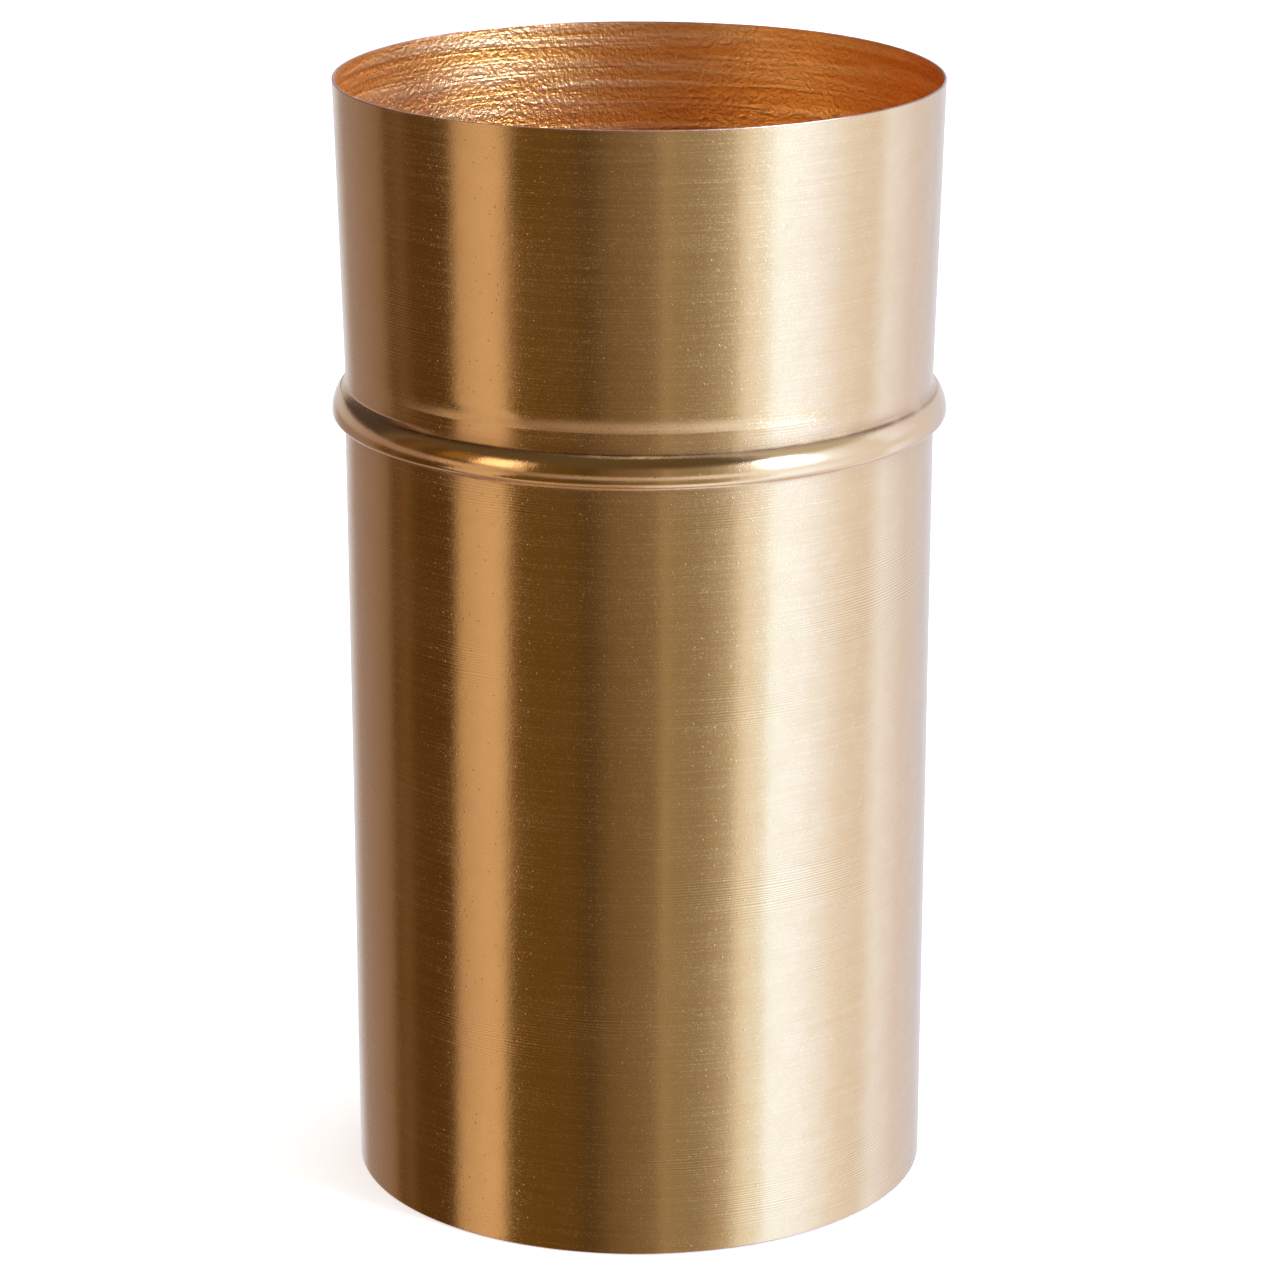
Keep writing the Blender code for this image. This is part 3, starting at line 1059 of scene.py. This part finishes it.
def ring_of_colour(tree, share, stops):
    """A ColorRamp over the compass. Its stops hold the colours divided by the brightest part."""
    ramp = put(tree, "ValToRGB", {0: share})
    elements = ramp.color_ramp.elements
    elements.remove(elements[-1])
    for number, (degrees, colour) in enumerate(stops):
        place = (degrees + 180) / 360
        stop = elements[0] if number == 0 else elements.new(place)
        stop.position = place
        stop.color = (*[part / BRIGHTEST for part in colour], 1.0)
    return scaled(tree, ramp.outputs["Color"], BRIGHTEST)


def scaled(tree, colour, factor):
    """A colour times a factor."""
    return put(tree, "VectorMath", {0: colour, "Scale": factor}, operation="SCALE").outputs[0]


def between(tree, value, rise, fall):
    """1 between two limits and 0 outside them, with a smooth change over rise and over fall."""
    rising = fade(tree, value, *rise)
    falling = fade(tree, value, fall[1], fall[0])
    return math_node(tree, "MULTIPLY", rising, falling)


# %% Build the world
def build_world():
    """A world whose light depends on compass direction and height above the horizon."""
    world = bpy.data.worlds.new("studio")
    world.use_nodes = True
    tree = world.node_tree
    tree.nodes.clear()
    direction = put(tree, "SeparateXYZ", {0: put(tree, "TexCoord").outputs["Generated"]}).outputs
    toward_camera = math_node(tree, "MULTIPLY", direction["Y"], -1.0)
    compass = math_node(tree, "ARCTAN2", direction["X"], toward_camera)
    degrees = math_node(tree, "MULTIPLY", compass, 180 / math.pi)
    elevation = math_node(tree, "MULTIPLY", math_node(tree, "ARCSINE", direction["Z"]), 180 / math.pi)
    # The card on the left leans, so its edges stand further round the lower they are.
    on_left = fade(tree, degrees, -20.0, -50.0)
    behind = fade(tree, degrees, -100.0, -150.0, 1.0, 0.0)
    lean = math_node(tree, "MULTIPLY", math_node(tree, "MULTIPLY", on_left, behind), LEAN)
    rise = fade(tree, elevation, -35.0, 10.0, -18.0, 24.0)
    shifted = math_node(tree, "SUBTRACT", degrees, math_node(tree, "MULTIPLY", rise, lean))
    walls = ring_of_colour(tree, math_node(tree, "MULTIPLY_ADD", shifted, 1 / 360, 0.5), WALLS)
    pale = ring_of_colour(tree, math_node(tree, "MULTIPLY_ADD", degrees, 1 / 360, 0.5), PALE)
    # Higher up, part of the window and the card catch the sun, which lights the inside.
    sunny = between(tree, degrees, (46.0, 56.0), (61.0, 71.0))
    card = between(tree, degrees, (-84.0, -76.0), (-52.0, -44.0))
    sunny = math_node(tree, "MULTIPLY_ADD", card, CARD_SHARE, sunny)
    sunny = math_node(tree, "MULTIPLY", sunny, fade(tree, elevation, 9.0, 19.0))
    walls = scaled(tree, walls, math_node(tree, "MULTIPLY_ADD", sunny, WINDOW_GAIN - 1, 1.0))
    # The corner behind the pot on the left is dim above the horizon.
    corner = between(tree, degrees, (-178.0, -162.0), (-118.0, -95.0))
    corner = math_node(tree, "MULTIPLY", corner, fade(tree, elevation, 2.0, 12.0, 0.0, CORNER_DIM))
    walls = scaled(tree, walls, math_node(tree, "SUBTRACT", 1.0, corner))
    ceiling = mix_colours(tree, fade(tree, degrees, 46.0, 70.0, 0.0, 0.6), CEILING, SKY)
    room = mix_colours(tree, fade(tree, elevation, 28.0, 42.0), walls, ceiling)
    room = mix_colours(tree, fade(tree, elevation, 76.0, 84.0), room, LAMP)
    strip = between(tree, elevation, (-9.0, -3.0), (3.0, 9.0))
    strip = math_node(tree, "MAXIMUM", strip, fade(tree, elevation, LOW_START, LOW_END))
    room = mix_colours(tree, strip, room, pale)
    seen = put(tree, "LightPath").outputs["Is Camera Ray"]
    colour = mix_colours(tree, seen, room, (1.0, 1.0, 1.0, 1.0))
    background = put(tree, "Background", {"Color": colour, "Strength": 1.0})
    tree.links.new(background.outputs[0], put(tree, "OutputWorld").inputs["Surface"])
    return world


bpy.context.scene.world = build_world()
bpy.context.scene.view_settings.view_transform = "Standard"
print("room with", len(WALLS), "and", len(PALE), "stops")

# %% [markdown]
# A wide softbox hangs over the pot. It lights the floor evenly and draws the soft contact
# shadow. It isn't shown in the brass, because the world already holds what the brass shows.
# The floor is a plain pale sheet, and a little of its own light keeps it even to the horizon.

# %% Softbox and floor
softbox_data = bpy.data.lights.new("softbox", "AREA")
softbox_data.shape = "RECTANGLE"
softbox_data.size = 2.4
softbox_data.size_y = 2.4
softbox_data.energy = 60.0
softbox = bpy.data.objects.new("softbox", softbox_data)
softbox.location = (0.2, 0.1, 2.6)
softbox.visible_glossy = False
bpy.context.scene.collection.objects.link(softbox)

FLOOR_HALF = 12.0
floor_mesh = bpy.data.meshes.new("floor")
floor_corners = np.array([(-1, -1, 0), (1, -1, 0), (1, 1, 0), (-1, 1, 0)]) * FLOOR_HALF
floor_mesh.from_pydata(floor_corners.tolist(), [], [(0, 1, 2, 3)])
floor = bpy.data.objects.new("floor", floor_mesh)
bpy.context.scene.collection.objects.link(floor)
floor_paint, _, floor_shader, _ = start_material("pale_floor", 0.0)
floor_shader.inputs["Base Color"].default_value = (0.80, 0.80, 0.80, 1.0)
floor_shader.inputs["Roughness"].default_value = 1.0
floor_shader.inputs["Specular IOR Level"].default_value = 0.0
floor_shader.inputs["Emission Color"].default_value = (1.0, 1.0, 1.0, 1.0)
floor_shader.inputs["Emission Strength"].default_value = 0.5
floor_mesh.materials.append(floor_paint)
floor.visible_glossy = False
print("softbox", softbox_data.energy, "W")
